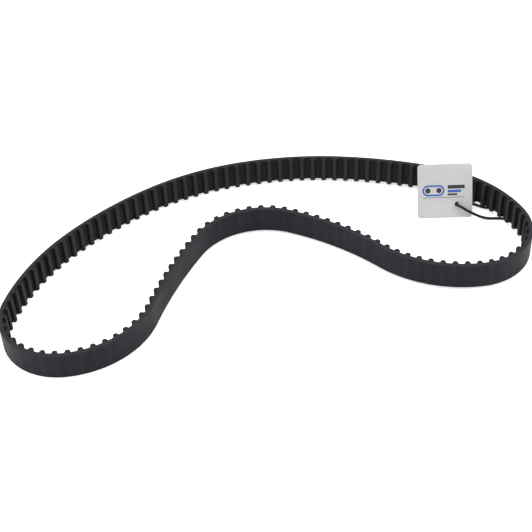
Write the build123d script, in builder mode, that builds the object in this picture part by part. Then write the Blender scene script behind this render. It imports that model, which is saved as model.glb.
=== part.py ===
from build123d import *

import os
from math import cos, degrees, pi, radians, sin, tan

# An endless toothed timing belt lying on its edge in a loose S-shaped loop, with a hang tag on a string.
#
# Frame: millimetres. The loop lies flat, its pulley axes along +Z. The origin is the centre of the
# loop's box, on the belt's mid-plane, so the belt runs from -WIDTH / 2 to WIDTH / 2. The tag leans
# on the inside of the loop near its +X end and faces -Y.

# --- Belt ---------------------------------------------------------------------------------------
PITCH = 9.525               # tooth to tooth along the pitch line, 3/8 in
TEETH_PER_LENGTH = 9
WIDTH = 22.0
BACK = 2.5                  # pitch line to the smooth back
LAND = 0.7                  # pitch line to the land between two teeth
TOOTH_HEIGHT = 2.9          # land to tooth tip
TOOTH_ROOT = 4.9            # tooth width where it meets the land
TOOTH_FLANK = 17.0          # flank angle, degrees
TIP_RADIUS = 1.0
EMBED = 0.4                 # how far a tooth's outline runs into the backing before it is cut back
FACING = 0.25               # nylon fabric over the teeth and the lands
CORD_DIAMETER = 0.7         # tensile cord
CORD_SPACING = 1.3
CORD_COUNT = 15
CUT_GAP = 0.8               # room between two lengths for the belt to flex

# --- Lay of the loop ----------------------------------------------------------------------------
# The belt is divided at tooth gaps into lengths of nine teeth, numbered along the belt from the tag.
# Each lies on one arc. A bend is in degrees, clockwise seen from above. close_loop trims the three
# bends that ADJUSTED lists, counted from 0, so that the ends meet.
START = (144.3, 88.1)       # where the first length starts, on the pitch line
HEADING = -21.8             # the belt's direction there, degrees from +X
BENDS = [48.4, 103.3, 51.9, -21.5, -84.4, -12.5, 69.0, 107.1, 26.7, 16.9, 22.8, 18.5, 13.7]
ADJUSTED = (1, 4, 7)

# --- Hang tag -----------------------------------------------------------------------------------
TAG_SIDE = 45.5
TAG_THICKNESS = 0.5
TAG_CORNER = 3.0
TAG_HOLE_DIAMETER = 4.0
TAG_HOLE = (10.0, 11.3)     # from the middle of the tag's lower edge
TAG_FOOT = (145.0, 50.95)    # the middle of the tag's lower edge, seen from above
TAG_TURN = -1.0             # degrees about +Z
TAG_LEAN = 28.0             # degrees back from upright

# --- Tag string ---------------------------------------------------------------------------------
# From the knot behind the tag, through its hole, along the ground and under the belt, round on the
# outside, back under the belt and behind the tag to the same knot.
STRING_DIAMETER = 2.0
STRING_CLEARANCE = 0.1
FLOOR = -WIDTH / 2 - STRING_DIAMETER - STRING_CLEARANCE
LAID = FLOOR + 1.05         # the string's centre line where it lies on the ground
STRING_ROUTE = [
    (154.94, 57.0, -3.19),
    (155.71, 53.55, -2.3),
    (159.83, 52.77, -4.91),
    (163.5, 51.9, -7.0),
    (167.3, 51.1, -8.9),
    (171.2, 50.6, -10.5),
    (175.2, 49.7, -11.5),
    (180.0, 48.1, LAID),
    (184.6, 46.4, LAID),
    (189.1, 44.9, LAID),
    (193.3, 44.0, LAID),
    (197.7, 44.0, LAID),
    (202.3, 46.6, LAID),
    (204.7, 51.8, LAID),
    (203.8, 58.0, LAID),
    (200.0, 63.3, LAID),
    (194.5, 65.3, LAID),
    (189.5, 63.3, LAID),
    (185.0, 60.6, LAID),
    (180.0, 60.0, LAID),
    (175.0, 62.5, LAID),
    (170.5, 65.3, LAID),
    (165.8, 67.0, -11.5),
    (161.0, 66.8, -9.2),
    (157.4, 64.9, -6.2),
    (155.67, 61.91, -4.87),
]
BEND_SHARE = 0.45           # of the shorter of two runs, the most that the bend between them takes up
KNOT_DIAMETER = 5.0
KNOT = (9.2, 12.1, -3.6)  # across and up from the middle of the tag's lower edge, and in front of it

LENGTH = TEETH_PER_LENGTH * PITCH


def travel(point, heading, bend):
    """The far end of a length that leaves point at heading."""
    half = radians(bend) / 2
    chord = LENGTH * sin(half) / half
    direction = radians(heading) - half
    return (point[0] + chord * cos(direction), point[1] + chord * sin(direction))


def loop_gap(bends):
    """How far the end of the last length is from the start of the first."""
    point, heading = (0.0, 0.0), HEADING
    for bend in bends:
        point = travel(point, heading, bend)
        heading -= bend
    return point


def close_loop(bends):
    """The bends with the adjusted three trimmed, by Newton's method, until the loop closes."""
    step = 0.01
    first, second, last = ADJUSTED
    bends = list(bends)
    for _ in range(6):
        bends[last] += 360 - sum(bends)
        x, y = loop_gap(bends)
        slopes = []
        for adjusted in (first, second):
            trial = list(bends)
            trial[adjusted] += step
            trial[last] -= step
            moved_x, moved_y = loop_gap(trial)
            slopes.append(((moved_x - x) / step, (moved_y - y) / step))
        (a, c), (b, d) = slopes
        bends[first] -= (d * x - b * y) / (a * d - b * c)
        bends[second] -= (a * y - c * x) / (a * d - b * c)
    bends[last] += 360 - sum(bends)
    return bends


def at(radius, along, out):
    """A point of a length in its own plane: along the pitch line from its middle, and outwards."""
    turn = along / radius
    return ((radius + out) * sin(turn), (radius + out) * cos(turn) - radius)


def band(radius, inner, outer):
    """The face between two distances from the pitch line, over one length less its cut gap."""
    half = (LENGTH - CUT_GAP) / 2
    with BuildSketch() as face:
        with BuildLine():
            top = ThreePointArc(*[at(radius, along, outer) for along in (-half, 0, half)])
            bottom = ThreePointArc(*[at(radius, along, inner) for along in (-half, 0, half)])
            Line(top @ 0, bottom @ 0)
            Line(top @ 1, bottom @ 1)
        make_face()
    return face.sketch


def tooth(skin):
    """One tooth seen along its length, less a skin all over, pointing down from the land."""
    slope = tan(radians(TOOTH_FLANK))
    tip = -TOOTH_HEIGHT + skin
    half_root = TOOTH_ROOT / 2 - skin / cos(radians(TOOTH_FLANK))
    half_tip = half_root + slope * tip
    half_top = half_root + slope * EMBED
    with BuildSketch() as outline:
        with BuildLine():
            Polyline((-half_top, EMBED), (-half_tip, tip), (half_tip, tip), (half_top, EMBED), close=True)
        make_face()
        fillet(outline.vertices().group_by(Axis.Y)[0], TIP_RADIUS - skin)
    return outline.sketch


def tooth_row(radius, skin, backing_face):
    """The nine teeth of a length, cut back to the backing they stand on."""
    one = tooth(skin)
    with BuildSketch() as row:
        for number in range(TEETH_PER_LENGTH):
            along = (number - (TEETH_PER_LENGTH - 1) / 2) * PITCH
            x, y = at(radius, along, -LAND)
            with Locations(Location((x, y, 0), (0, 0, 1), -degrees(along / radius))):
                add(one)
        add(backing_face, mode=Mode.SUBTRACT)
    return row.sketch


def cord_rings(start_plane, radius, bend):
    """The tensile cords of one length: rings about the length's centre of curvature."""
    centre = start_plane.origin + start_plane.y_dir * (-radius)
    profile_plane = Plane(origin=start_plane.origin, x_dir=start_plane.y_dir, z_dir=start_plane.x_dir)
    with BuildPart() as cords:
        with BuildSketch(profile_plane):
            with GridLocations(1, CORD_SPACING, 1, CORD_COUNT):
                Circle(CORD_DIAMETER / 2)
        turn_axis = Axis(centre, (0, 0, -1) if bend > 0 else (0, 0, 1))
        revolve(axis=turn_axis, revolution_arc=abs(bend))
    return cords


os.makedirs("parts", exist_ok=True)


def write(part, name):
    part.label = name
    export_step(part, f"parts/{name}.step")


# --- The thirteen lengths -------------------------------------------------------------------------
bends = close_loop(BENDS)
joint = START
heading = HEADING
for number, bend in enumerate(bends, start=1):
    print(f"hinge {number:02d} at {joint[0]:.3f} {joint[1]:.3f} heading {heading:.3f} bend {bend:.3f}")
    radius = LENGTH / radians(bend)
    middle_heading = radians(heading - bend / 2)
    start_side = Vector(sin(radians(heading)), -cos(radians(heading)))
    centre = Vector(joint[0], joint[1]) + start_side * radius
    outwards = Vector(-sin(middle_heading), cos(middle_heading))
    middle = centre + outwards * radius
    edge_plane = Plane(
        origin=(middle.X, middle.Y, -WIDTH / 2),
        x_dir=(cos(middle_heading), sin(middle_heading), 0),
        z_dir=(0, 0, 1),
    )

    backing_face = band(radius, -LAND + FACING, BACK)
    teeth_face = tooth_row(radius, FACING, backing_face)
    with BuildSketch() as facing_face:
        add(band(radius, -LAND, -LAND + FACING))
        add(tooth_row(radius, 0.0, backing_face))
        add(teeth_face, mode=Mode.SUBTRACT)

    cut_turn = CUT_GAP / 2 / radius
    start_heading = radians(heading) - cut_turn
    start_plane = Plane(
        origin=(
            centre.X - radius * sin(start_heading),
            centre.Y + radius * cos(start_heading),
            0,
        ),
        x_dir=(cos(start_heading), sin(start_heading), 0),
        z_dir=(0, 0, 1),
    )
    cord_bend = bend * (LENGTH - CUT_GAP) / LENGTH
    cords = cord_rings(start_plane, radius, cord_bend)

    with BuildPart() as backing:
        with BuildSketch(edge_plane):
            add(backing_face)
        extrude(amount=WIDTH)
        add(cords.part, mode=Mode.SUBTRACT)

    with BuildPart() as teeth:
        with BuildSketch(edge_plane):
            add(teeth_face)
        extrude(amount=WIDTH)

    with BuildPart() as facing:
        with BuildSketch(edge_plane):
            add(facing_face.sketch)
        extrude(amount=WIDTH)

    write(backing.part, f"backing_{number:02d}")
    write(cords.part, f"tensile_cords_{number:02d}")
    write(teeth.part, f"teeth_{number:02d}")
    write(facing.part, f"nylon_facing_{number:02d}")

    joint = travel(joint, heading, bend)
    heading -= bend

# --- Hang tag -------------------------------------------------------------------------------------
tag_turn = radians(TAG_TURN)
tag_lean = radians(TAG_LEAN)
tag_across = Vector(cos(tag_turn), sin(tag_turn), 0)
tag_back = Vector(-sin(tag_turn), cos(tag_turn), 0)
tag_up = tag_back * sin(tag_lean) + Vector(0, 0, 1) * cos(tag_lean)
tag_foot = Vector(TAG_FOOT[0], TAG_FOOT[1], FLOOR + TAG_THICKNESS * sin(tag_lean))
tag_plane = Plane(origin=tag_foot, x_dir=tag_across, z_dir=tag_across.cross(tag_up))

with BuildPart() as hang_tag:
    with BuildSketch(tag_plane):
        with Locations((0, TAG_SIDE / 2)):
            RectangleRounded(TAG_SIDE, TAG_SIDE, TAG_CORNER)
        with Locations(TAG_HOLE):
            Circle(TAG_HOLE_DIAMETER / 2, mode=Mode.SUBTRACT)
    extrude(amount=-TAG_THICKNESS)
write(hang_tag.part, "hang_tag")
hole = tag_plane.from_local_coords((*TAG_HOLE, -TAG_THICKNESS / 2))
print("tag hole", [round(c, 2) for c in hole], "front", [round(c, 3) for c in tag_plane.z_dir])


# --- Tag string -----------------------------------------------------------------------------------
route = [Vector(*point) for point in STRING_ROUTE]
bend_radii = []
for before, corner, after in zip(route, route[1:], route[2:]):
    arriving, leaving = corner - before, after - corner
    turn = arriving.get_angle(leaving)
    shorter_run = min(arriving.length, leaving.length)
    bend_radii.append(BEND_SHARE * shorter_run / tan(radians(turn) / 2))
    print(f"string bend: run {arriving.length:.1f}, turn {turn:.0f} degrees, radius {bend_radii[-1]:.1f}")

with BuildPart() as tag_string:
    with BuildLine() as string_path:
        FilletPolyline(*route, radius=bend_radii)
    with BuildSketch(Plane(origin=route[0], z_dir=route[1] - route[0])):
        Circle(STRING_DIAMETER / 2)
    sweep(path=string_path.line)
write(tag_string.part, "tag_string")
string_length = string_path.wires()[0].length
string_section = pi * STRING_DIAMETER**2 / 4
print(f"string length {string_length:.1f}, volume {tag_string.part.volume:.2f},")
print(f"section times length {string_section * string_length:.2f}")

knot_centre = tag_plane.from_local_coords(KNOT)
with BuildPart() as string_knot:
    with Locations(knot_centre):
        Sphere(KNOT_DIAMETER / 2)
write(string_knot.part, "string_knot")
print("knot", [round(c, 2) for c in knot_centre], "to the string's ends", end=" ")
print([round((knot_centre - route[end]).length - KNOT_DIAMETER / 2, 2) for end in (0, -1)])
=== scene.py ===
"""A toothed timing belt lying on its edge in an S-shaped loop, with a card tag on a string."""

from math import cos, pi, radians, sin, tan

import bpy
import bmesh
from mathutils import Matrix, Quaternion, Vector


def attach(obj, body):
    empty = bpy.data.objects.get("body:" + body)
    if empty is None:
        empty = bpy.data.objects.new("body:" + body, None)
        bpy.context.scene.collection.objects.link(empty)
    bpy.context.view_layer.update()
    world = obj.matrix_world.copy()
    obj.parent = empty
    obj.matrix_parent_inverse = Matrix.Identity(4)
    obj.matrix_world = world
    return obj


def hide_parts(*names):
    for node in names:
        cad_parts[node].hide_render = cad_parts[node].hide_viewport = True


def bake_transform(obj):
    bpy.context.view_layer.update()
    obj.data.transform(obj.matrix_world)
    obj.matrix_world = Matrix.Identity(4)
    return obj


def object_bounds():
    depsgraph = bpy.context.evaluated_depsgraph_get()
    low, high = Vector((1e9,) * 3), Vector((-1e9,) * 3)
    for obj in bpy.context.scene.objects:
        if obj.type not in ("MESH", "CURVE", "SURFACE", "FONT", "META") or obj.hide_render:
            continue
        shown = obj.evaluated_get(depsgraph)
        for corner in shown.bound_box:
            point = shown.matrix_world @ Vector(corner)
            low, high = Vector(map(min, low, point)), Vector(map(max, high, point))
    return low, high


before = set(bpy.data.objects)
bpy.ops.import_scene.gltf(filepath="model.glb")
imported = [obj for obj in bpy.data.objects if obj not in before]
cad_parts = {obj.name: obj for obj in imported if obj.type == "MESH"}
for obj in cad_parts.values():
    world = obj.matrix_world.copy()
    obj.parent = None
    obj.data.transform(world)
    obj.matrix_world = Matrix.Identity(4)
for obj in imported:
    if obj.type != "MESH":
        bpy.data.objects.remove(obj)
cad_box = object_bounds()

MM = 0.001

# --- The belt's sizes, in millimetres, as the CAD has them ------------------------------------------
PITCH = 9.525
TEETH_PER_LENGTH = 9
LENGTHS = 13
LENGTH = PITCH * TEETH_PER_LENGTH
HALF_WIDTH = 11.0
BACK = 2.5
LAND = 0.7
TOOTH_HEIGHT = 2.9
TOOTH_ROOT = 4.9
TOOTH_FLANK = 17.0
TIP_RADIUS = 1.0
ROOT_RADIUS = 0.55
FACING = 0.25
CORD_RADIUS = 0.35
CORD_SPACING = 1.3
CORD_COUNT = 15
EDGE_ROUND = 0.35

# --- The lay of the loop ----------------------------------------------------------------------------
START = (144.3, 88.1)
HEADING = -21.8
BENDS = [48.4, 103.3, 51.9, -21.5, -84.4, -12.5, 69.0, 107.1, 26.7, 16.9, 22.8, 18.5, 13.7]
ADJUSTED = (1, 4, 7)
OPEN_PIVOT = 8              # no joint between this length and the next
CUT = 5                     # a visible stretch of belt starts five teeth into a length, at a tooth gap

# --- The camera -------------------------------------------------------------------------------------
EYE = (-6.57, -706.08, 605.55)
TARGET = (-6.57, -2.48, -10.35)
CAMERA_ROLL = -2.65
LENS = 78.98

# --- The tag ----------------------------------------------------------------------------------------
TAG_SIDE = 45.5
TAG_THICKNESS = 0.5
TAG_CORNER = 3.0
TAG_HOLE_RADIUS = 2.0
TAG_HOLE = (10.0, 11.3)
TAG_FOOT = (145.0, 50.95)
TAG_TURN = -1.0
TAG_LEAN = 28.0
GROUND = -13.1              # what the tag stands on and the string lies on
KNOT = (9.8, 11.0, -2.7)    # across, up and out, on the tag's plane

# --- The string -------------------------------------------------------------------------------------
STRING_RADIUS = 1.0
LAID = GROUND + 1.05
STRING_ROUTE = [
    (154.94, 57.0, -3.19),
    (155.71, 53.55, -2.3),
    (159.83, 52.0, -4.2),
    (163.5, 50.5, -6.2),
    (167.3, 49.3, -7.9),
    (171.2, 48.2, -9.6),
    (175.2, 47.3, -11.0),
    (180.0, 46.8, LAID),
    (184.6, 46.4, LAID),
    (189.1, 46.2, LAID),
    (193.3, 45.4, LAID),
    (197.7, 44.0, LAID),
    (202.3, 46.6, LAID),
    (204.7, 51.8, LAID),
    (203.8, 58.0, LAID),
    (200.0, 63.3, LAID),
    (194.5, 65.3, LAID),
    (189.5, 63.3, LAID),
    (185.0, 60.6, LAID),
    (180.0, 61.0, LAID),
    (175.0, 64.2, LAID),
    (170.5, 67.4, LAID),
    (165.8, 69.0, -11.2),
    (161.0, 68.0, -8.9),
    (157.4, 64.9, -6.2),
    (155.67, 61.91, -4.87),
]


def metres(point):
    return tuple(c * MM for c in point)


# ====================================================================================================
# The pitch line
# ====================================================================================================
def travel(point, heading, bend):
    half = radians(bend) / 2
    chord = LENGTH * sin(half) / half
    direction = radians(heading) - half
    return (point[0] + chord * cos(direction), point[1] + chord * sin(direction))


def loop_gap(bends):
    point, heading = (0.0, 0.0), HEADING
    for bend in bends:
        point = travel(point, heading, bend)
        heading -= bend
    return point


def close_loop(bends):
    """The bends with the adjusted three trimmed, by Newton's method, until the loop closes."""
    step = 0.01
    first, second, last = ADJUSTED
    bends = list(bends)
    for _ in range(6):
        bends[last] += 360 - sum(bends)
        x, y = loop_gap(bends)
        slopes = []
        for adjusted in (first, second):
            trial = list(bends)
            trial[adjusted] += step
            trial[last] -= step
            moved_x, moved_y = loop_gap(trial)
            slopes.append(((moved_x - x) / step, (moved_y - y) / step))
        (a, c), (b, d) = slopes
        bends[first] -= (d * x - b * y) / (a * d - b * c)
        bends[second] -= (a * y - c * x) / (a * d - b * c)
    bends[last] += 360 - sum(bends)
    return bends


def lay_out():
    """For each length: its centre of curvature, signed radius and starting heading."""
    point, heading, arcs = START, HEADING, []
    for bend in close_loop(BENDS):
        radius = LENGTH / radians(bend)
        side = (sin(radians(heading)), -cos(radians(heading)))
        arcs.append(((point[0] + side[0] * radius, point[1] + side[1] * radius), radius, radians(heading)))
        point = travel(point, heading, bend)
        heading -= bend
    return arcs


ARCS = lay_out()


def on_belt(tooth, out):
    """The point at a place along the belt, in teeth from its start, and a distance outside the pitch line."""
    number = int(tooth // TEETH_PER_LENGTH) % LENGTHS
    (x, y), radius, heading = ARCS[number]
    turned = heading - (tooth % TEETH_PER_LENGTH) * PITCH / radius
    return (x - (radius + out) * sin(turned), y + (radius + out) * cos(turned))


def rounded(corners, radii, steps=5):
    """A polyline with each inner corner replaced by an arc."""
    points = [corners[0]]
    for before, corner, after, radius in zip(corners, corners[1:], corners[2:], radii):
        b, c, a = Vector(before), Vector(corner), Vector(after)
        arriving, leaving = (c - b).normalized(), (a - c).normalized()
        turn = arriving.angle_signed(leaving)
        cut = radius * tan(abs(turn) / 2)
        begin = c - arriving * cut
        side = Vector((-arriving.y, arriving.x)) * (1 if turn < 0 else -1)
        centre = begin + side * radius
        for step in range(steps + 1):
            spoke = begin - centre
            spoke.rotate(Matrix.Rotation(-turn * step / steps, 2))
            points.append(tuple(centre + spoke))
    points.append(corners[-1])
    return points


def tooth_outline(skin):
    """The toothed side over one pitch, as (along, out), a skin's thickness inside the surface."""
    slope = tan(radians(TOOTH_FLANK))
    shift = skin / cos(radians(TOOTH_FLANK))
    half_root = TOOTH_ROOT / 2 - shift + slope * skin
    half_tip = TOOTH_ROOT / 2 - shift - slope * (TOOTH_HEIGHT - skin)
    land, tip = -LAND + skin, -LAND - TOOTH_HEIGHT + skin
    corners = [
        (-PITCH / 2, land), (-half_root, land), (-half_tip, tip),
        (half_tip, tip), (half_root, land), (PITCH / 2, land),
    ]
    return rounded(corners, [ROOT_RADIUS + skin, TIP_RADIUS - skin, TIP_RADIUS - skin, ROOT_RADIUS + skin])


# ====================================================================================================
# Mesh building
# ====================================================================================================
SHARP_ANGLE = 35            # degrees between two faces, above which their edge isn't smoothed


def new_object(name, mesh):
    piece = bpy.data.objects.new(name, mesh)
    bpy.context.scene.collection.objects.link(piece)
    return piece


def belt_mesh(name, sections):
    """A closed mesh from a list of equal closed sections of (tooth, out, z) points along the belt."""
    vertices, flat, faces = [], [], []
    count = len(sections[0])
    for section in sections:
        for tooth, out, z in section:
            x, y = on_belt(tooth, out)
            vertices.append(metres((x, y, z)))
            flat.append((tooth * PITCH * MM, out * MM, z * MM))
    for ring in range(len(sections) - 1):
        for i in range(count):
            j = (i + 1) % count
            a, b = ring * count, (ring + 1) * count
            faces.append((a + i, b + i, b + j, a + j))
    faces.append(tuple(range(count)))
    faces.append(tuple(reversed(range((len(sections) - 1) * count, len(sections) * count))))
    return mesh_from(name, vertices, faces, flat)


def mesh_from(name, vertices, faces, coordinates=None, sharp=SHARP_ANGLE):
    """A smooth-shaded mesh. The coordinates, if any, are the belt's own, for its materials."""
    mesh = bpy.data.meshes.new(name)
    mesh.from_pydata(vertices, [], faces)
    mesh.validate()
    if coordinates:
        along = mesh.attributes.new("belt", "FLOAT_VECTOR", "POINT")
        along.data.foreach_set("vector", [c for point in coordinates for c in point])
    shape = bmesh.new()
    shape.from_mesh(mesh)
    bmesh.ops.recalc_face_normals(shape, faces=shape.faces)
    shape.to_mesh(mesh)
    shape.free()
    mesh.shade_smooth()
    mesh.set_sharp_from_angle(angle=radians(sharp))
    return mesh


def join_meshes(name, meshes):
    """One mesh of several, for a piece that is a group of separate solids."""
    shape = bmesh.new()
    for mesh in meshes:
        shape.from_mesh(mesh)
    joined = bpy.data.meshes.new(name)
    shape.to_mesh(joined)
    shape.free()
    for mesh in meshes:
        bpy.data.meshes.remove(mesh)
    joined.set_sharp_from_angle(angle=radians(SHARP_ANGLE))
    return joined


# ====================================================================================================
# The layers of one stretch of belt, from tooth gap first to tooth gap last
# ====================================================================================================
BACK_POINTS = (9.6, 9.3, 4.0, -4.0, -9.3, -9.6)     # across the flat of the back
CORNER_STEPS = 3
BACK_STEPS = 10             # to a pitch
CORD_STEPS = 3              # to a pitch
CORD_SIDES = 8


def back_section(tooth):
    """The backing's section: square where it meets the teeth, with rounded corners on the back."""
    inner, outer = -LAND + FACING, BACK
    corner = []
    for step in range(CORNER_STEPS + 1):
        turn = pi / 2 * step / CORNER_STEPS
        corner.append((outer - EDGE_ROUND * (1 - sin(turn)), HALF_WIDTH - EDGE_ROUND * (1 - cos(turn))))
    top = [(inner, HALF_WIDTH)] + corner
    flat = [(outer, z) for z in BACK_POINTS]
    bottom = [(out, -z) for out, z in reversed(top)]
    return [(tooth, out, z) for out, z in top + flat + bottom]


def backing(name, first, last):
    steps = (last - first) * BACK_STEPS
    sections = [back_section(first + (last - first) * i / steps) for i in range(steps + 1)]
    return belt_mesh(name, sections)


def facing(name, first, last):
    """The nylon: a skin of even thickness over teeth and lands."""
    surface, under = tooth_outline(0.0), tooth_outline(FACING)
    sections = []
    for tooth in range(first, last):
        for (along, out), (below, inside) in list(zip(surface, under))[(tooth > first):]:
            here, there = tooth + 0.5 + along / PITCH, tooth + 0.5 + below / PITCH
            sections.append([
                (here, out, HALF_WIDTH), (there, inside, HALF_WIDTH),
                (there, inside, -HALF_WIDTH), (here, out, -HALF_WIDTH),
            ])
    return belt_mesh(name, sections)


ROOT_OVERLAP = 0.02         # how far each tooth's root runs on under the facing


def teeth(name, first, last):
    """The rubber of each tooth, between the facing and the backing."""
    land = -LAND + FACING
    outline = [p for p in tooth_outline(FACING) if p[1] < land - 1e-6]
    meshes = []
    half = outline[-1][0] + ROOT_OVERLAP
    ring = [(-half, land)] + outline + [(half, land)]
    for tooth in range(first, last):
        middle = tooth + 0.5
        near = [(middle + along / PITCH, out, -HALF_WIDTH) for along, out in ring]
        far = [(middle + along / PITCH, out, HALF_WIDTH) for along, out in ring]
        meshes.append(belt_mesh(f"{name}_{tooth}", [near, far]))
    return join_meshes(name, meshes)


def cords(name, first, last):
    """The tensile cords on the pitch line, a tube each."""
    steps = (last - first) * CORD_STEPS
    circle = [
        (CORD_RADIUS * cos(2 * pi * k / CORD_SIDES), CORD_RADIUS * sin(2 * pi * k / CORD_SIDES))
        for k in range(CORD_SIDES)
    ]
    meshes = []
    for index in range(CORD_COUNT):
        z = (index - (CORD_COUNT - 1) / 2) * CORD_SPACING
        sections = []
        for step in range(steps + 1):
            tooth = first + (last - first) * step / steps
            sections.append([(tooth, out, z + rise) for out, rise in circle])
        meshes.append(belt_mesh(f"{name}_{index}", sections))
    return join_meshes(name, meshes)


# ====================================================================================================
# Materials
# ====================================================================================================
WAVE_PERIOD = 2 * pi / 20   # of the wave texture at scale 1


class Nodes:
    """A material's node tree, with its shader and a few short calls."""

    def __init__(self, name, **shader_values):
        self.material = bpy.data.materials.new(name)
        self.material.use_nodes = True
        self.tree = self.material.node_tree
        self.shader = self.tree.nodes["Principled BSDF"]
        for socket, value in shader_values.items():
            self.shader.inputs[socket.replace("_", " ")].default_value = value

    def add(self, kind, **values):
        node = self.tree.nodes.new(kind)
        for key, value in values.items():
            if key in node.inputs:
                node.inputs[key].default_value = value
            else:
                setattr(node, key, value)
        return node

    def link(self, out, into):
        self.tree.links.new(out, into)

    def coordinates(self, scale, attribute=None):
        """The object's coordinates, or the named attribute's, times a scale per axis."""
        if attribute:
            source = self.add("ShaderNodeAttribute", attribute_name=attribute).outputs["Vector"]
        else:
            source = self.add("ShaderNodeTexCoord").outputs["Object"]
        mapping = self.add("ShaderNodeMapping")
        mapping.inputs["Scale"].default_value = scale
        self.link(source, mapping.inputs["Vector"])
        return mapping.outputs["Vector"]

    def noise(self, vector, scale, detail=3.0, roughness=0.55):
        node = self.add("ShaderNodeTexNoise", Scale=scale, Detail=detail, Roughness=roughness)
        self.link(vector, node.inputs["Vector"])
        return node.outputs["Fac"]

    def ramp(self, value, stops):
        node = self.add("ShaderNodeValToRGB")
        elements = node.color_ramp.elements
        while len(elements) < len(stops):
            elements.new(0.5)
        for element, (place, colour) in zip(elements, stops):
            element.position = place
            element.color = (*colour, 1.0) if isinstance(colour, tuple) else (colour, colour, colour, 1.0)
        self.link(value, node.inputs["Fac"])
        return node.outputs["Color"]

    def mix(self, factor, a, b, blend="MIX"):
        node = self.add("ShaderNodeMix", data_type="RGBA", blend_type=blend)
        for socket, value in ((node.inputs[0], factor), (node.inputs[6], a), (node.inputs[7], b)):
            if isinstance(value, bpy.types.NodeSocket):
                self.link(value, socket)
            else:
                socket.default_value = value
        return node.outputs[2]

    def bump(self, height, strength, distance, under=None):
        node = self.add("ShaderNodeBump", Strength=strength, Distance=distance)
        self.link(height, node.inputs["Height"])
        if under is not None:
            self.link(under, node.inputs["Normal"])
        return node.outputs["Normal"]


RIM_WIDTH = 1.0             # of the paler strip of painted highlight along each edge of the back


def back_rubber():
    """The back: matte, faintly blue, with ground grain, bands at the tooth pitch, scuffs and a painted
    highlight along each rim.
    """
    m = Nodes("back_rubber", Roughness=0.55, Specular_IOR_Level=0.13)
    flat = m.coordinates((1, 1, 1), "belt")
    grain = m.noise(flat, 2600, 2.0)
    across = m.noise(m.coordinates((1, 1, 0.04), "belt"), 240, 2.0)
    lengthwise = m.noise(m.coordinates((0.03, 1, 1), "belt"), 900, 2.0)
    patches = m.noise(flat, 38, 3.0)
    colour = m.ramp(patches, [(0.3, (0.0055, 0.0048, 0.0080)), (0.7, (0.0095, 0.0087, 0.0125))])
    tooth_bands = m.add(
        "ShaderNodeTexWave", Scale=WAVE_PERIOD / (PITCH * MM), Distortion=0.0, bands_direction="X",
    )
    m.link(flat, tooth_bands.inputs["Vector"])
    band = m.ramp(tooth_bands.outputs["Fac"], [(0.55, 0.0), (1.0, 0.22)])
    colour = m.mix(band, colour, (0.019, 0.0183, 0.0235, 1))
    colour = m.mix(m.ramp(across, [(0.45, 0.0), (0.75, 0.30)]), colour, (0.021, 0.0202, 0.0260, 1))
    scuffs = m.ramp(m.noise(m.coordinates((1, 1, 0.5), "belt"), 330, 6.0, 0.7), [(0.66, 0.0), (0.78, 0.55)])
    colour = m.mix(scuffs, colour, (0.038, 0.0373, 0.043, 1))
    # Painted highlight: a paler strip along each edge of the back, where the rounded corner catches the
    # light.
    across_belt = m.add("ShaderNodeSeparateXYZ")
    m.link(flat, across_belt.inputs["Vector"])
    from_middle = m.add("ShaderNodeMath", operation="ABSOLUTE")
    m.link(across_belt.outputs["Z"], from_middle.inputs[0])
    rim = m.add("ShaderNodeMapRange")
    rim.inputs["From Min"].default_value = (HALF_WIDTH - RIM_WIDTH) * MM
    rim.inputs["From Max"].default_value = HALF_WIDTH * MM
    m.link(from_middle.outputs["Value"], rim.inputs["Value"])
    rim_highlight = m.ramp(rim.outputs["Result"], [(0.0, 0.0), (0.8, 0.8)])
    colour = m.mix(rim_highlight, colour, (0.026, 0.0255, 0.031, 1))
    m.link(colour, m.shader.inputs["Base Color"])
    m.link(m.ramp(patches, [(0.3, 0.50), (0.7, 0.66)]), m.shader.inputs["Roughness"])
    normal = m.bump(lengthwise, 0.25, 0.00006)
    normal = m.bump(grain, 0.5, 0.00005, normal)
    m.link(normal, m.shader.inputs["Normal"])
    return m.material


def cut_rubber():
    """The teeth's rubber, seen where the belt's edges are cut: greyer and rougher, with chopped fibre."""
    m = Nodes("cut_rubber", Roughness=0.75, Specular_IOR_Level=0.12)
    flat = m.coordinates((1, 1, 1), "belt")
    fibres = m.noise(flat, 1500, 5.0, 0.7)
    colour = m.ramp(fibres, [
        (0.42, (0.0105, 0.011, 0.011)), (0.58, (0.024, 0.025, 0.024)), (0.72, (0.075, 0.076, 0.072)),
    ])
    m.link(colour, m.shader.inputs["Base Color"])
    m.link(m.bump(fibres, 0.6, 0.0001), m.shader.inputs["Normal"])
    return m.material


WEAVE_SCALE = 620.0         # threads half a millimetre apart


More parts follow.
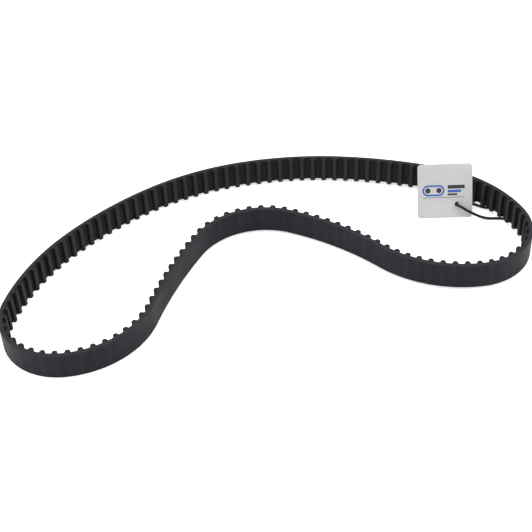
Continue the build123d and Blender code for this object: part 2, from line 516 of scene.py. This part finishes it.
def nylon():
    """The facing: a fine weave pressed into rubber, with a painted highlight on the tooth tips and painted
    shade down the flanks between the teeth.
    """
    m = Nodes("nylon_facing", Roughness=0.6, Specular_IOR_Level=0.095, Sheen_Weight=0.01)
    flat = m.coordinates((1, 1, 1), "belt")
    weave_along = m.add("ShaderNodeTexWave", Scale=WEAVE_SCALE, Distortion=0.6, bands_direction="X")
    weave_across = m.add("ShaderNodeTexWave", Scale=WEAVE_SCALE, Distortion=0.6, bands_direction="Z")
    for wave in (weave_along, weave_across):
        m.link(flat, wave.inputs["Vector"])
    weave = m.mix(0.5, weave_along.outputs["Color"], weave_across.outputs["Color"])
    # Painted highlight and shade by depth: tooth tips paler, flanks between the teeth darkest, lands in
    # between.
    depth = m.add("ShaderNodeSeparateXYZ")
    m.link(flat, depth.inputs["Vector"])
    height = m.add("ShaderNodeMapRange")
    height.inputs["From Min"].default_value = -(LAND + TOOTH_HEIGHT) * MM
    height.inputs["From Max"].default_value = -LAND * MM
    m.link(depth.outputs["Y"], height.inputs["Value"])
    tip_highlight_flank_shade = m.ramp(height.outputs["Result"], [   # from the tooth tips to the lands
        (0.0, (0.0200, 0.0205, 0.0198)), (0.12, (0.0125, 0.0130, 0.0125)), (0.35, (0.0040, 0.0041, 0.0041)),
        (0.85, (0.0030, 0.0031, 0.0031)), (1.0, (0.0090, 0.0092, 0.0090)),
    ])
    patches = m.noise(flat, 160, 3.0)
    colour = m.mix(m.ramp(patches, [(0.35, 0.0), (0.7, 0.4)]), tip_highlight_flank_shade, (0.013, 0.0133, 0.013, 1))
    colour = m.mix(0.25, colour, weave, "SOFT_LIGHT")
    m.link(colour, m.shader.inputs["Base Color"])
    m.link(m.bump(weave, 0.5, 0.00008), m.shader.inputs["Normal"])
    return m.material


def glass_cord():
    """Twisted glass fibre, pale amber under its dip."""
    m = Nodes("glass_cord", Roughness=0.45)
    strands = m.add("ShaderNodeTexWave", Scale=260.0, Distortion=1.0, bands_direction="DIAGONAL")
    m.link(m.coordinates((1, 1, 1), "belt"), strands.inputs["Vector"])
    colour = m.ramp(strands.outputs["Fac"], [(0.2, (0.30, 0.24, 0.14)), (0.8, (0.62, 0.55, 0.40))])
    m.link(colour, m.shader.inputs["Base Color"])
    m.link(m.bump(strands.outputs["Fac"], 0.5, 0.0001), m.shader.inputs["Normal"])
    return m.material


def card():
    """Coated white card, very slightly mottled."""
    m = Nodes("tag_card", Roughness=0.42, Specular_IOR_Level=0.4)
    flat = m.coordinates((1, 1, 1))
    mottle = m.noise(flat, 120, 4.0)
    fine = m.noise(flat, 2600, 3.0)
    colour = m.ramp(mottle, [(0.3, (0.478, 0.466, 0.470)), (0.7, (0.515, 0.500, 0.505))])
    m.link(colour, m.shader.inputs["Base Color"])
    m.link(m.bump(fine, 0.25, 0.00004), m.shader.inputs["Normal"])
    return m.material


def ink(name, colour):
    """Printed ink: nearly flat, with the small breaks of a quick print."""
    m = Nodes(name, Roughness=0.38)
    speckle = m.noise(m.coordinates((1, 1, 1)), 1800, 3.0)
    paler = tuple(c * 0.8 + 0.06 for c in colour)
    m.link(m.ramp(speckle, [(0.55, colour), (0.8, paler)]), m.shader.inputs["Base Color"])
    m.link(m.bump(speckle, 0.1, 0.00002), m.shader.inputs["Normal"])
    return m.material


def black_string():
    """Waxed black cotton: matte, with fibres along the twist."""
    m = Nodes("black_string", Roughness=0.62, Specular_IOR_Level=0.2, Sheen_Weight=0.04)
    fibres = m.noise(m.coordinates((1, 1, 1)), 3200, 4.0, 0.7)
    colour = m.ramp(fibres, [(0.3, (0.0045, 0.0045, 0.005)), (0.75, (0.014, 0.014, 0.015))])
    m.link(colour, m.shader.inputs["Base Color"])
    m.link(m.bump(fibres, 0.6, 0.00008), m.shader.inputs["Normal"])
    return m.material


def pale_floor():
    """A pale floor that glows a little, which keeps the shadows on it faint."""
    m = Nodes(
        "pale_floor", Roughness=0.9, Specular_IOR_Level=0.2,
        Emission_Color=(1, 1, 1, 1), Emission_Strength=0.45,
    )
    patches = m.noise(m.coordinates((1, 1, 1)), 6, 2.0)
    m.link(m.ramp(patches, [(0.3, 0.93), (0.7, 0.95)]), m.shader.inputs["Base Color"])
    return m.material


BACK_RUBBER, CUT_RUBBER, NYLON, GLASS = back_rubber(), cut_rubber(), nylon(), glass_cord()

# ====================================================================================================
# The belt: stretches across the hinges, drawn in their resting curve
# ====================================================================================================
LAYERS = {
    "backing": (backing, BACK_RUBBER, "belt_rubber"),
    "teeth": (teeth, CUT_RUBBER, "tooth_rubber"),
    "nylon_facing": (facing, NYLON, "nylon_fabric"),
    "tensile_cords": (cords, GLASS, "glass_cord"),
}


def belt_stretch(label, number, first, last, bodies):
    """All layers of the belt from gap first to gap last, standing for the nodes of one length."""
    for layer, (build, material, slot) in LAYERS.items():
        piece = new_object(f"belt_{layer}_{label}", build(f"belt_{layer}_{label}", first, last))
        piece.data.materials.append(material)
        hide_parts(f"{layer}_{number:02d}")
        if len(bodies) == 1:
            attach(piece, bodies[0])
            continue
        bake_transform(piece)


def make_belt():
    for number in range(1, LENGTHS + 1):
        begin = (number - 1) * TEETH_PER_LENGTH
        body, following = f"length_{number:02d}", f"length_{number % LENGTHS + 1:02d}"
        if number == OPEN_PIVOT:
            belt_stretch(f"{number:02d}", number, begin + CUT, begin + TEETH_PER_LENGTH, [body])
            after = begin + TEETH_PER_LENGTH
            belt_stretch(f"{number + 1:02d}_lead", number + 1, after, after + CUT, [following])
        else:
            start = begin + CUT
            belt_stretch(f"{number:02d}", number, start, start + TEETH_PER_LENGTH, [body, following])


# ====================================================================================================
# The tag
# ====================================================================================================
def tag_matrix():
    """Across, up and out of the tag's face, with its origin at the middle of the lower edge."""
    turn, lean = radians(TAG_TURN), radians(TAG_LEAN)
    across = Vector((cos(turn), sin(turn), 0))
    back = Vector((-sin(turn), cos(turn), 0))
    up = back * sin(lean) + Vector((0, 0, 1)) * cos(lean)
    foot = Vector((*TAG_FOOT, GROUND + TAG_THICKNESS * sin(lean)))
    return Matrix((
        (*Vector((across.x, up.x, across.cross(up).x)), foot.x * MM),
        (*Vector((across.y, up.y, across.cross(up).y)), foot.y * MM),
        (*Vector((across.z, up.z, across.cross(up).z)), foot.z * MM),
        (0, 0, 0, 1),
    ))


TAG = tag_matrix()


def ring_points(centre, radius, steps=40, begin=0.0, sweep=2 * pi):
    closed = sweep >= 2 * pi - 1e-9
    count = steps if closed else steps + 1
    angles = [begin + sweep * i / steps for i in range(count)]
    return [(centre[0] + radius * cos(angle), centre[1] + radius * sin(angle)) for angle in angles]


def rounded_box(left, bottom, right, top, radius, steps=8):
    points = []
    corners = [(right, bottom, -pi / 2), (right, top, 0), (left, top, pi / 2), (left, bottom, pi)]
    for x, y, begin in corners:
        cx = x - radius if x == right else x + radius
        cy = y - radius if y == top else y + radius
        points += ring_points((cx, cy), radius, steps, begin, pi / 2)
    return points


def flat_piece(name, outlines, low, high, bevel=0.0):
    """A flat solid on the tag's plane between two heights, from closed outlines; inner ones are holes."""
    curve = bpy.data.curves.new(name, "CURVE")
    curve.dimensions = "2D"
    curve.fill_mode = "BOTH"
    curve.extrude = (high - low) / 2 * MM - bevel * MM
    curve.bevel_depth = bevel * MM
    curve.bevel_resolution = 2
    curve.offset = -bevel * MM
    for outline in outlines:
        spline = curve.splines.new("POLY")
        spline.points.add(len(outline) - 1)
        for point, (x, y) in zip(spline.points, outline):
            point.co = (x * MM, y * MM, 0, 1)
        spline.use_cyclic_u = True
    drawn = new_object(name + "_outline", curve)
    bpy.context.view_layer.update()
    graph = bpy.context.evaluated_depsgraph_get()
    mesh = bpy.data.meshes.new_from_object(drawn.evaluated_get(graph))
    bpy.data.objects.remove(drawn)
    mesh.transform(TAG @ Matrix.Translation((0, 0, (low + high) / 2 * MM)))
    shape = bmesh.new()
    shape.from_mesh(mesh)
    bmesh.ops.remove_doubles(shape, verts=shape.verts, dist=1e-7)
    bmesh.ops.recalc_face_normals(shape, faces=shape.faces)
    shape.to_mesh(mesh)
    shape.free()
    mesh.shade_smooth()
    mesh.set_sharp_from_angle(angle=radians(30))
    mesh.materials.clear()
    return new_object(name, mesh)


def stadium(centre, half_length, radius):
    """The outline of a loop round two equal wheels."""
    x, y = centre
    right = ring_points((x + half_length, y), radius, 20, -pi / 2, pi)
    left = ring_points((x - half_length, y), radius, 20, pi / 2, pi)
    return right + left


PRINT_HEIGHT = 0.02         # how far the ink stands off the card


def make_tag():
    rim = rounded_box(-TAG_SIDE / 2, 0, TAG_SIDE / 2, TAG_SIDE, TAG_CORNER)
    hole = ring_points(TAG_HOLE, TAG_HOLE_RADIUS)
    board = flat_piece("tag_card", [rim, hole], -TAG_THICKNESS, 0.0, bevel=0.08)
    board.data.materials.append(card())
    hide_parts("hang_tag")
    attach(board, "tag")

    dark, blue = ink("dark_ink", (0.022, 0.020, 0.022)), ink("blue_ink", (0.018, 0.095, 0.40))
    loop_centre = (-9.6, 23.3)
    shapes = {
        "print_loop": (blue, [stadium(loop_centre, 4.6, 4.6), stadium(loop_centre, 4.6, 3.2)]),
        "print_wheel_left": (dark, [ring_points((loop_centre[0] - 4.6, loop_centre[1]), 2.2)]),
        "print_wheel_right": (dark, [ring_points((loop_centre[0] + 4.6, loop_centre[1]), 2.2)]),
        "print_bar_long": (dark, [rounded_box(2.2, 24.6, 16.4, 27.6, 0.5)]),
        "print_bar_middle": (blue, [rounded_box(2.2, 21.5, 13.4, 23.6, 0.5)]),
        "print_bar_short": (dark, [rounded_box(2.2, 19.0, 10.2, 20.6, 0.4)]),
        "print_rule": (dark, [rounded_box(-18.0, 17.2, 16.2, 17.6, 0.15)]),
    }
    for name, (material, outlines) in shapes.items():
        mark = flat_piece(name, outlines, 0.002, PRINT_HEIGHT)
        mark.data.materials.append(material)
        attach(mark, "tag")


# ====================================================================================================
# The string and its knot
# ====================================================================================================
def spline_points(route, resolution):
    """Points along the smooth open spline that has the route as its control points."""
    curve = bpy.data.curves.new("route", "CURVE")
    curve.dimensions = "3D"
    curve.resolution_u = resolution
    spline = curve.splines.new("NURBS")
    spline.points.add(len(route) - 1)
    for point, place in zip(spline.points, route):
        point.co = (*metres(place), 1)
    spline.order_u = 3
    spline.use_endpoint_u = True
    drawn = new_object("route", curve)
    bpy.context.view_layer.update()
    graph = bpy.context.evaluated_depsgraph_get()
    mesh = bpy.data.meshes.new_from_object(drawn.evaluated_get(graph))
    points = [v.co.copy() for v in mesh.vertices]
    bpy.data.objects.remove(drawn)
    bpy.data.meshes.remove(mesh)
    return points


def frames_along(points):
    """A point, a side and an upward direction at each place, carried along without twisting."""
    side = Vector((0, 0, 1)).cross(points[1] - points[0]).normalized()
    frames = []
    for index, point in enumerate(points):
        ahead = points[min(index + 1, len(points) - 1)] - points[max(index - 1, 0)]
        ahead.normalize()
        side = (side - ahead * side.dot(ahead)).normalized()
        frames.append((point, side, ahead.cross(side)))
    return frames


def strand_mesh(name, points, offset, radius, turns_per_metre, phase=0.0, sides=7):
    """A round strand that winds about the points at an offset."""
    vertices, faces = [], []
    travelled = 0.0
    centres = []
    for index, (point, side, lift) in enumerate(frames_along(points)):
        if index:
            travelled += (points[index] - points[index - 1]).length
        turn = phase + 2 * pi * turns_per_metre * travelled
        centres.append(point + (side * cos(turn) + lift * sin(turn)) * offset)
    for centre, side, lift in frames_along(centres):
        for k in range(sides):
            a = 2 * pi * k / sides
            vertices.append(centre + (side * cos(a) + lift * sin(a)) * radius)
    for ring in range(len(centres) - 1):
        for k in range(sides):
            l = (k + 1) % sides
            a, b = ring * sides, (ring + 1) * sides
            faces.append((a + k, b + k, b + l, a + l))
    faces.append(tuple(range(sides)))
    faces.append(tuple(range((len(centres) - 1) * sides, len(centres) * sides)))
    return mesh_from(name, vertices, faces, sharp=60)


STRANDS = 3
STRAND_OFFSET = 0.42        # of a strand's middle from the string's, in string radii
STRAND_RADIUS = 0.78        # in string radii
STRAND_LAY = 4.2            # millimetres of string to a turn


def twisted(name, points, radius):
    """A string of three strands laid round each other."""
    meshes = [
        strand_mesh(
            f"{name}_{k}", points, radius * STRAND_OFFSET, radius * STRAND_RADIUS,
            1 / (STRAND_LAY * MM), 2 * pi * k / STRANDS,
        )
        for k in range(STRANDS)
    ]
    return join_meshes(name, meshes)


def make_string():
    points = spline_points(STRING_ROUTE, 24)
    piece = new_object("tag_string_visible", twisted("tag_string_visible", points, STRING_RADIUS * MM))
    material = black_string()
    piece.data.materials.append(material)
    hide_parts("tag_string")
    knot = make_knot(material)
    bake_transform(piece)


KNOT_SPREAD = 0.48
KNOT_STEPS = 72
KNOT_SIDES = 10
TAIL_RADIUS = 0.9           # in string radii
TAIL_PLACES = (1.0, 2.8, 4.2)


def make_knot(material):
    """An overhand knot drawn up tight, as a closed trefoil of string with two cut tails."""
    centre = TAG @ Vector(metres(KNOT))
    turns = []
    for step in range(KNOT_STEPS + 1):
        a = 2 * pi * step / KNOT_STEPS
        across = (sin(a) + 2 * sin(2 * a)) * KNOT_SPREAD
        along = (cos(a) - 2 * cos(2 * a)) * KNOT_SPREAD
        turns.append(Vector((across, along, -sin(3 * a))) * MM + centre)
    meshes = [strand_mesh("knot_turns", turns, 0, STRING_RADIUS * MM, 0, sides=KNOT_SIDES)]
    tails = {"knot_tail_low": Vector((-0.7, 0.5, -0.5)), "knot_tail_high": Vector((-0.4, 0.75, 0.5))}
    for name, direction in tails.items():
        ends = [centre + direction * place * MM for place in TAIL_PLACES]
        meshes.append(strand_mesh(name, ends, 0, STRING_RADIUS * TAIL_RADIUS * MM, 0, sides=KNOT_SIDES))
    knot = new_object("string_knot_visible", join_meshes("string_knot_visible", meshes))
    knot.data.materials.append(material)
    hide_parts("string_knot")
    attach(knot, "knot")
    return knot


# ====================================================================================================
# The floor, the lights and the camera
# ====================================================================================================
FLOOR_SIZE = 6.0            # metres
FLOOR_GAP = 0.00002
WORLD_STRENGTH = 0.84


def make_floor():
    """A pale floor that touches the belt's edge at its left end and lies under the string at its right."""
    left, right = cad_box[0][0], TAG_FOOT[0] * MM
    slope = (GROUND * MM + HALF_WIDTH * MM) / (right - left)
    half = FLOOR_SIZE / 2
    corners = [
        (x, y, -HALF_WIDTH * MM + (x - left) * slope - FLOOR_GAP)
        for x, y in ((-half, -half), (half, -half), (half, half), (-half, half))
    ]
    floor = new_object("floor", mesh_from("floor", corners, [(0, 1, 2, 3)]))
    floor.data.materials.append(pale_floor())


def area_light(name, place, size, power):
    """A soft rectangular light, aimed at the belt."""
    light = bpy.data.lights.new(name, "AREA")
    light.shape = "RECTANGLE"
    light.size, light.size_y = size
    light.energy = power
    lamp = bpy.data.objects.new(name, light)
    lamp.location = place
    lamp.rotation_euler = (-Vector(place)).to_track_quat("-Z", "Y").to_euler()
    bpy.context.scene.collection.objects.link(lamp)


def make_lights():
    world = bpy.data.worlds.new("studio")
    world.use_nodes = True
    background = world.node_tree.nodes["Background"]
    background.inputs["Color"].default_value = (1, 1, 1, 1)
    background.inputs["Strength"].default_value = WORLD_STRENGTH
    bpy.context.scene.world = world
    bpy.context.scene.view_settings.view_transform = "Standard"
    area_light("overhead", (0.0, 0.25, 1.6), (1.6, 1.2), 13)
    area_light("left_side", (-1.5, -0.4, 0.8), (1.0, 1.0), 9)
    area_light("right_side", (1.5, -0.3, 0.8), (1.0, 1.0), 9)


def make_camera():
    data = bpy.data.cameras.new("camera")
    data.lens = LENS
    data.clip_start = 0.01
    camera = bpy.data.objects.new("camera", data)
    eye, target = Vector(metres(EYE)), Vector(metres(TARGET))
    turn = (target - eye).to_track_quat("-Z", "Y") @ Quaternion((0, 0, 1), radians(CAMERA_ROLL))
    camera.location = eye
    camera.rotation_euler = turn.to_euler()
    bpy.context.scene.collection.objects.link(camera)
    bpy.context.scene.camera = camera


make_camera()
make_string()
make_belt()
make_tag()
make_floor()
make_lights()
